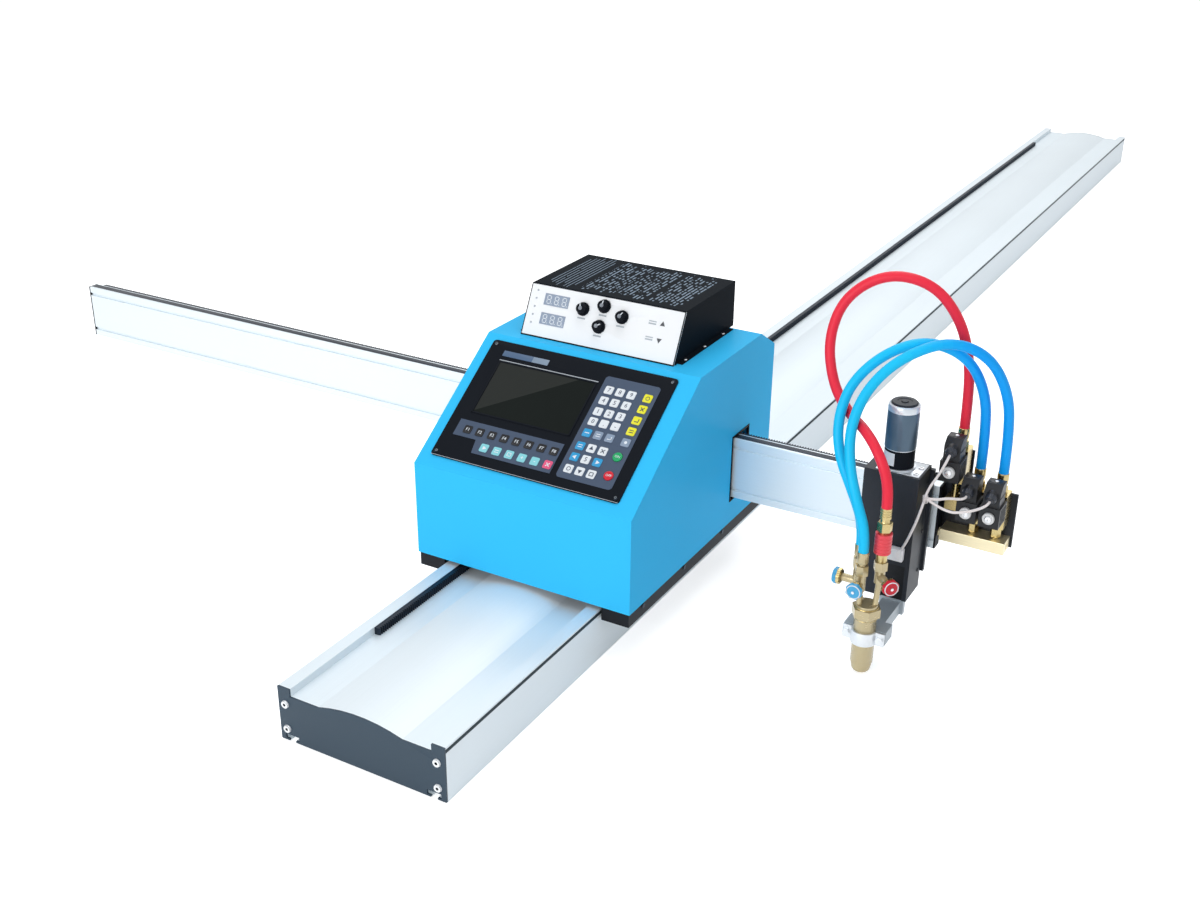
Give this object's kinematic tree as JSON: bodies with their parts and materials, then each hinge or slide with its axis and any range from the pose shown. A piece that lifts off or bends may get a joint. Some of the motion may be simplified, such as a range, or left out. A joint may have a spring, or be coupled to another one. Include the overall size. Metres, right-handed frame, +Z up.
{
  "type": "portable rail cutting machine",
  "caption": "Floor rail with a motorised carriage, a control cabinet, a sliding cross beam and a height-adjusted gas cutting torch with its valves and hoses.",
  "frame": {"origin": "centre of the rail's flat underside", "axes": "+Z up, +Y along the rail away from the control panel, +X along the beam towards the torch"},
  "size_m": [2.012, 4.286, 0.6013],
  "materials": {
    "arm_silver": "anodised",
    "arrestor_red": "anodised red",
    "beam_aluminium": "satin extruded",
    "beam_cap_black": "moulded",
    "bracket_grey": "machined",
    "brass": "machined brass",
    "cap_slate": "satin slate grey",
    "case_black": "fine texture black",
    "clamp_steel": "bright",
    "coil_black": "moulded",
    "cover_blue": "satin powder coat",
    "dial_black": "satin",
    "frame_black": "matt black paint",
    "front_white": "satin white",
    "gear_steel": "machined",
    "hose_blue": "satin rubber",
    "hose_red": "satin rubber",
    "housing_grey": "zinc plated sheet",
    "keys_white": "satin",
    "knob_blue": "moulded",
    "knob_red": "moulded",
    "lead_white": "translucent sleeve",
    "lifter_motor_grey": "satin blue grey",
    "motor_dark": "satin dark grey",
    "overlay_slate": "printed film",
    "panel_black": "fine satin",
    "rack_black": "black oxide",
    "rail_aluminium": "satin extruded",
    "rod_chrome": "ground chrome",
    "screen": "glossy dark",
    "screws_black": "black oxide",
    "socket_black": "moulded",
    "start_green": "gloss",
    "stop_red": "gloss",
    "tray_zinc": "plated sheet",
    "wheel_steel": "ground",
    "zinc_screws": "bright zinc"
  },
  "bodies": {
    "rail": {"rail_extrusion": "rail_aluminium", "rail_end_caps": "cap_slate", "end_cap_screws": "zinc_screws", "rail_rack": "rack_black"},
    "carriage": {"cover": "cover_blue", "chassis": "frame_black", "cover_screws": "screws_black", "controller_panel": "panel_black", "controller_housing": "housing_grey", "display_windows": "screen", "key_overlays": "overlay_slate", "keypad_keys": "keys_white", "thc_case": "case_black", "thc_front_panel": "front_white", "rail_drive_motor": "motor_dark", "beam_drive_motor": "motor_dark", "beam_guide_bracket": "bracket_grey", "electronics_tray": "tray_zinc", "rear_sockets": "socket_black"},
    "start_button": {"start_key": "start_green"},
    "stop_button": {"stop_key": "stop_red"},
    "dial_1": {"thc_knob_1": "dial_black"},
    "dial_2": {"thc_knob_2": "dial_black"},
    "dial_3": {"thc_knob_3": "dial_black"},
    "dial_4": {"thc_knob_4": "dial_black"},
    "rail_gear": {"rail_pinion": "gear_steel"},
    "beam_gear": {"beam_pinion": "gear_steel"},
    "front_wheels": {"front_wheelset": "wheel_steel"},
    "rear_wheels": {"rear_wheelset": "wheel_steel"},
    "guide_wheel_1": {"side_roller_1": "wheel_steel"},
    "guide_wheel_2": {"side_roller_2": "wheel_steel"},
    "guide_wheel_3": {"side_roller_3": "wheel_steel"},
    "guide_wheel_4": {"side_roller_4": "wheel_steel"},
    "beam_wheel_1": {"beam_roller_1": "wheel_steel"},
    "beam_wheel_2": {"beam_roller_2": "wheel_steel"},
    "beam_wheel_3": {"beam_roller_3": "wheel_steel"},
    "beam_wheel_4": {"beam_roller_4": "wheel_steel"},
    "beam": {"beam_extrusion": "beam_aluminium", "beam_rack": "rack_black", "beam_end_caps": "beam_cap_black", "lifter_housing": "frame_black", "lifter_motor": "lifter_motor_grey", "lifter_guide_rods": "rod_chrome", "valve_bracket": "frame_black", "gas_manifold": "brass", "solenoid_valves": "brass", "solenoid_coils": "coil_black", "valve_leads": "lead_white", "fuel_hose": "hose_red", "oxygen_hose_1": "hose_blue", "oxygen_hose_2": "hose_blue"},
    "lift_screw": {"lead_screw": "gear_steel"},
    "torch": {"torch_carriage": "arm_silver", "torch_clamp": "clamp_steel", "torch_body": "brass", "torch_nozzle": "brass", "flashback_arrestor": "arrestor_red"},
    "fuel_valve": {"fuel_knob": "knob_red"},
    "preheat_valve": {"preheat_knob": "knob_blue"},
    "cutting_valve": {"cutting_knob": "knob_blue"}
  },
  "joints": [
    {"name": "carriage_travel", "type": "slide", "parent": "rail", "child": "carriage", "axis": [0, 1, 0], "range_m": [-0.38, 3.25]},
    {"name": "beam_travel", "type": "slide", "parent": "carriage", "child": "beam", "axis": [1, 0, 0], "range_m": [-0.18, 1.08]},
    {"name": "torch_lift", "type": "slide", "parent": "beam", "child": "torch", "axis": [0, 0, 1], "range_m": [-0.004, 0.06], "deforming": ["fuel_hose", "oxygen_hose_1", "oxygen_hose_2"]},
    {"name": "start_press", "type": "slide", "parent": "carriage", "child": "start_button", "axis": [0, -0.5703, 0.8214], "range_m": [-0.001, 0], "stiffness_N_per_m": 200},
    {"name": "stop_press", "type": "slide", "parent": "carriage", "child": "stop_button", "axis": [0, -0.5703, 0.8214], "range_m": [-0.001, 0], "stiffness_N_per_m": 200},
    {"name": "dial_1_turn", "type": "hinge", "parent": "carriage", "child": "dial_1", "pos_m": [-0.0424, -1.46023, 0.46953], "axis": [0, -0.8918, 0.4524], "range_deg": [-150, 150]},
    {"name": "dial_2_turn", "type": "hinge", "parent": "carriage", "child": "dial_2", "pos_m": [-0.0047, -1.45516, 0.47952], "axis": [0, -0.8918, 0.4524], "range_deg": [-150, 150]},
    {"name": "dial_3_turn", "type": "hinge", "parent": "carriage", "child": "dial_3", "pos_m": [0.0314, -1.4605, 0.469], "axis": [0, -0.8918, 0.4524], "range_deg": [-150, 150]},
    {"name": "dial_4_turn", "type": "hinge", "parent": "carriage", "child": "dial_4", "pos_m": [-0.0062, -1.47086, 0.44858], "axis": [0, -0.8918, 0.4524], "range_deg": [-150, 150]},
    {"name": "rail_gear_turn", "type": "hinge", "parent": "carriage", "child": "rail_gear", "pos_m": [-0.1, -1.479, 0.085], "axis": [0, 0, 1], "range_deg": [-1600, 12600]},
    {"name": "beam_gear_turn", "type": "hinge", "parent": "carriage", "child": "beam_gear", "pos_m": [0, -1.3255, 0.25], "axis": [0, 0, 1], "range_deg": [-750, 4200]},
    {"name": "front_wheels_turn", "type": "hinge", "parent": "carriage", "child": "front_wheels", "pos_m": [0, -1.674, 0.1073], "axis": [1, 0, 0], "range_deg": [-11100, 1400]},
    {"name": "rear_wheels_turn", "type": "hinge", "parent": "carriage", "child": "rear_wheels", "pos_m": [0, -1.274, 0.1073], "axis": [1, 0, 0], "range_deg": [-11100, 1400]},
    {"name": "guide_wheel_1_turn", "type": "hinge", "parent": "carriage", "child": "guide_wheel_1", "pos_m": [-0.15842, -1.69, 0.0835], "axis": [0, 0, 1], "range_deg": [-13000, 1600]},
    {"name": "guide_wheel_2_turn", "type": "hinge", "parent": "carriage", "child": "guide_wheel_2", "pos_m": [-0.15842, -1.256, 0.0835], "axis": [0, 0, 1], "range_deg": [-13000, 1600]},
    {"name": "guide_wheel_3_turn", "type": "hinge", "parent": "carriage", "child": "guide_wheel_3", "pos_m": [0.15842, -1.69, 0.0835], "axis": [0, 0, 1], "range_deg": [-1600, 13000]},
    {"name": "guide_wheel_4_turn", "type": "hinge", "parent": "carriage", "child": "guide_wheel_4", "pos_m": [0.15842, -1.256, 0.0835], "axis": [0, 0, 1], "range_deg": [-1600, 13000]},
    {"name": "beam_wheel_1_turn", "type": "hinge", "parent": "carriage", "child": "beam_wheel_1", "pos_m": [-0.15, -1.358, 0.2688], "axis": [0, 1, 0], "range_deg": [-5300, 950]},
    {"name": "beam_wheel_2_turn", "type": "hinge", "parent": "carriage", "child": "beam_wheel_2", "pos_m": [0.15, -1.358, 0.2688], "axis": [0, 1, 0], "range_deg": [-5300, 950]},
    {"name": "beam_wheel_3_turn", "type": "hinge", "parent": "carriage", "child": "beam_wheel_3", "pos_m": [-0.15, -1.358, 0.1337], "axis": [0, 1, 0], "range_deg": [-950, 5300]},
    {"name": "beam_wheel_4_turn", "type": "hinge", "parent": "carriage", "child": "beam_wheel_4", "pos_m": [0.15, -1.358, 0.1337], "axis": [0, 1, 0], "range_deg": [-950, 5300]},
    {"name": "lift_screw_turn", "type": "hinge", "parent": "beam", "child": "lift_screw", "pos_m": [0.502, -1.4195, 0.19], "axis": [0, 0, 1], "range_deg": [-300, 4400]},
    {"name": "fuel_valve_turn", "type": "hinge", "parent": "torch", "child": "fuel_valve", "pos_m": [0.55375, -1.56875, 0.1735], "axis": [0.7071, -0.7071, 0], "range_deg": [0, 540]},
    {"name": "preheat_valve_turn", "type": "hinge", "parent": "torch", "child": "preheat_valve", "pos_m": [0.46, -1.534, 0.149], "axis": [-1, 0, 0], "range_deg": [0, 540]},
    {"name": "cutting_valve_turn", "type": "hinge", "parent": "torch", "child": "cutting_valve", "pos_m": [0.504, -1.581, 0.159], "axis": [0, -1, 0], "range_deg": [0, 540]}
  ],
  "couplings": [
    {"joint": "rail_gear_turn", "follows": "carriage_travel", "rad_per_m": 66.667},
    {"joint": "front_wheels_turn", "follows": "carriage_travel", "rad_per_m": -58.824},
    {"joint": "rear_wheels_turn", "follows": "carriage_travel", "rad_per_m": -58.824},
    {"joint": "guide_wheel_1_turn", "follows": "carriage_travel", "rad_per_m": -68.966},
    {"joint": "guide_wheel_2_turn", "follows": "carriage_travel", "rad_per_m": -68.966},
    {"joint": "guide_wheel_3_turn", "follows": "carriage_travel", "rad_per_m": 68.966},
    {"joint": "guide_wheel_4_turn", "follows": "carriage_travel", "rad_per_m": 68.966},
    {"joint": "beam_gear_turn", "follows": "beam_travel", "rad_per_m": 66.667},
    {"joint": "beam_wheel_1_turn", "follows": "beam_travel", "rad_per_m": -83.333},
    {"joint": "beam_wheel_2_turn", "follows": "beam_travel", "rad_per_m": -83.333},
    {"joint": "beam_wheel_3_turn", "follows": "beam_travel", "rad_per_m": 83.333},
    {"joint": "beam_wheel_4_turn", "follows": "beam_travel", "rad_per_m": 83.333},
    {"joint": "lift_screw_turn", "follows": "torch_lift", "rad_per_m": 1256.6}
  ]
}
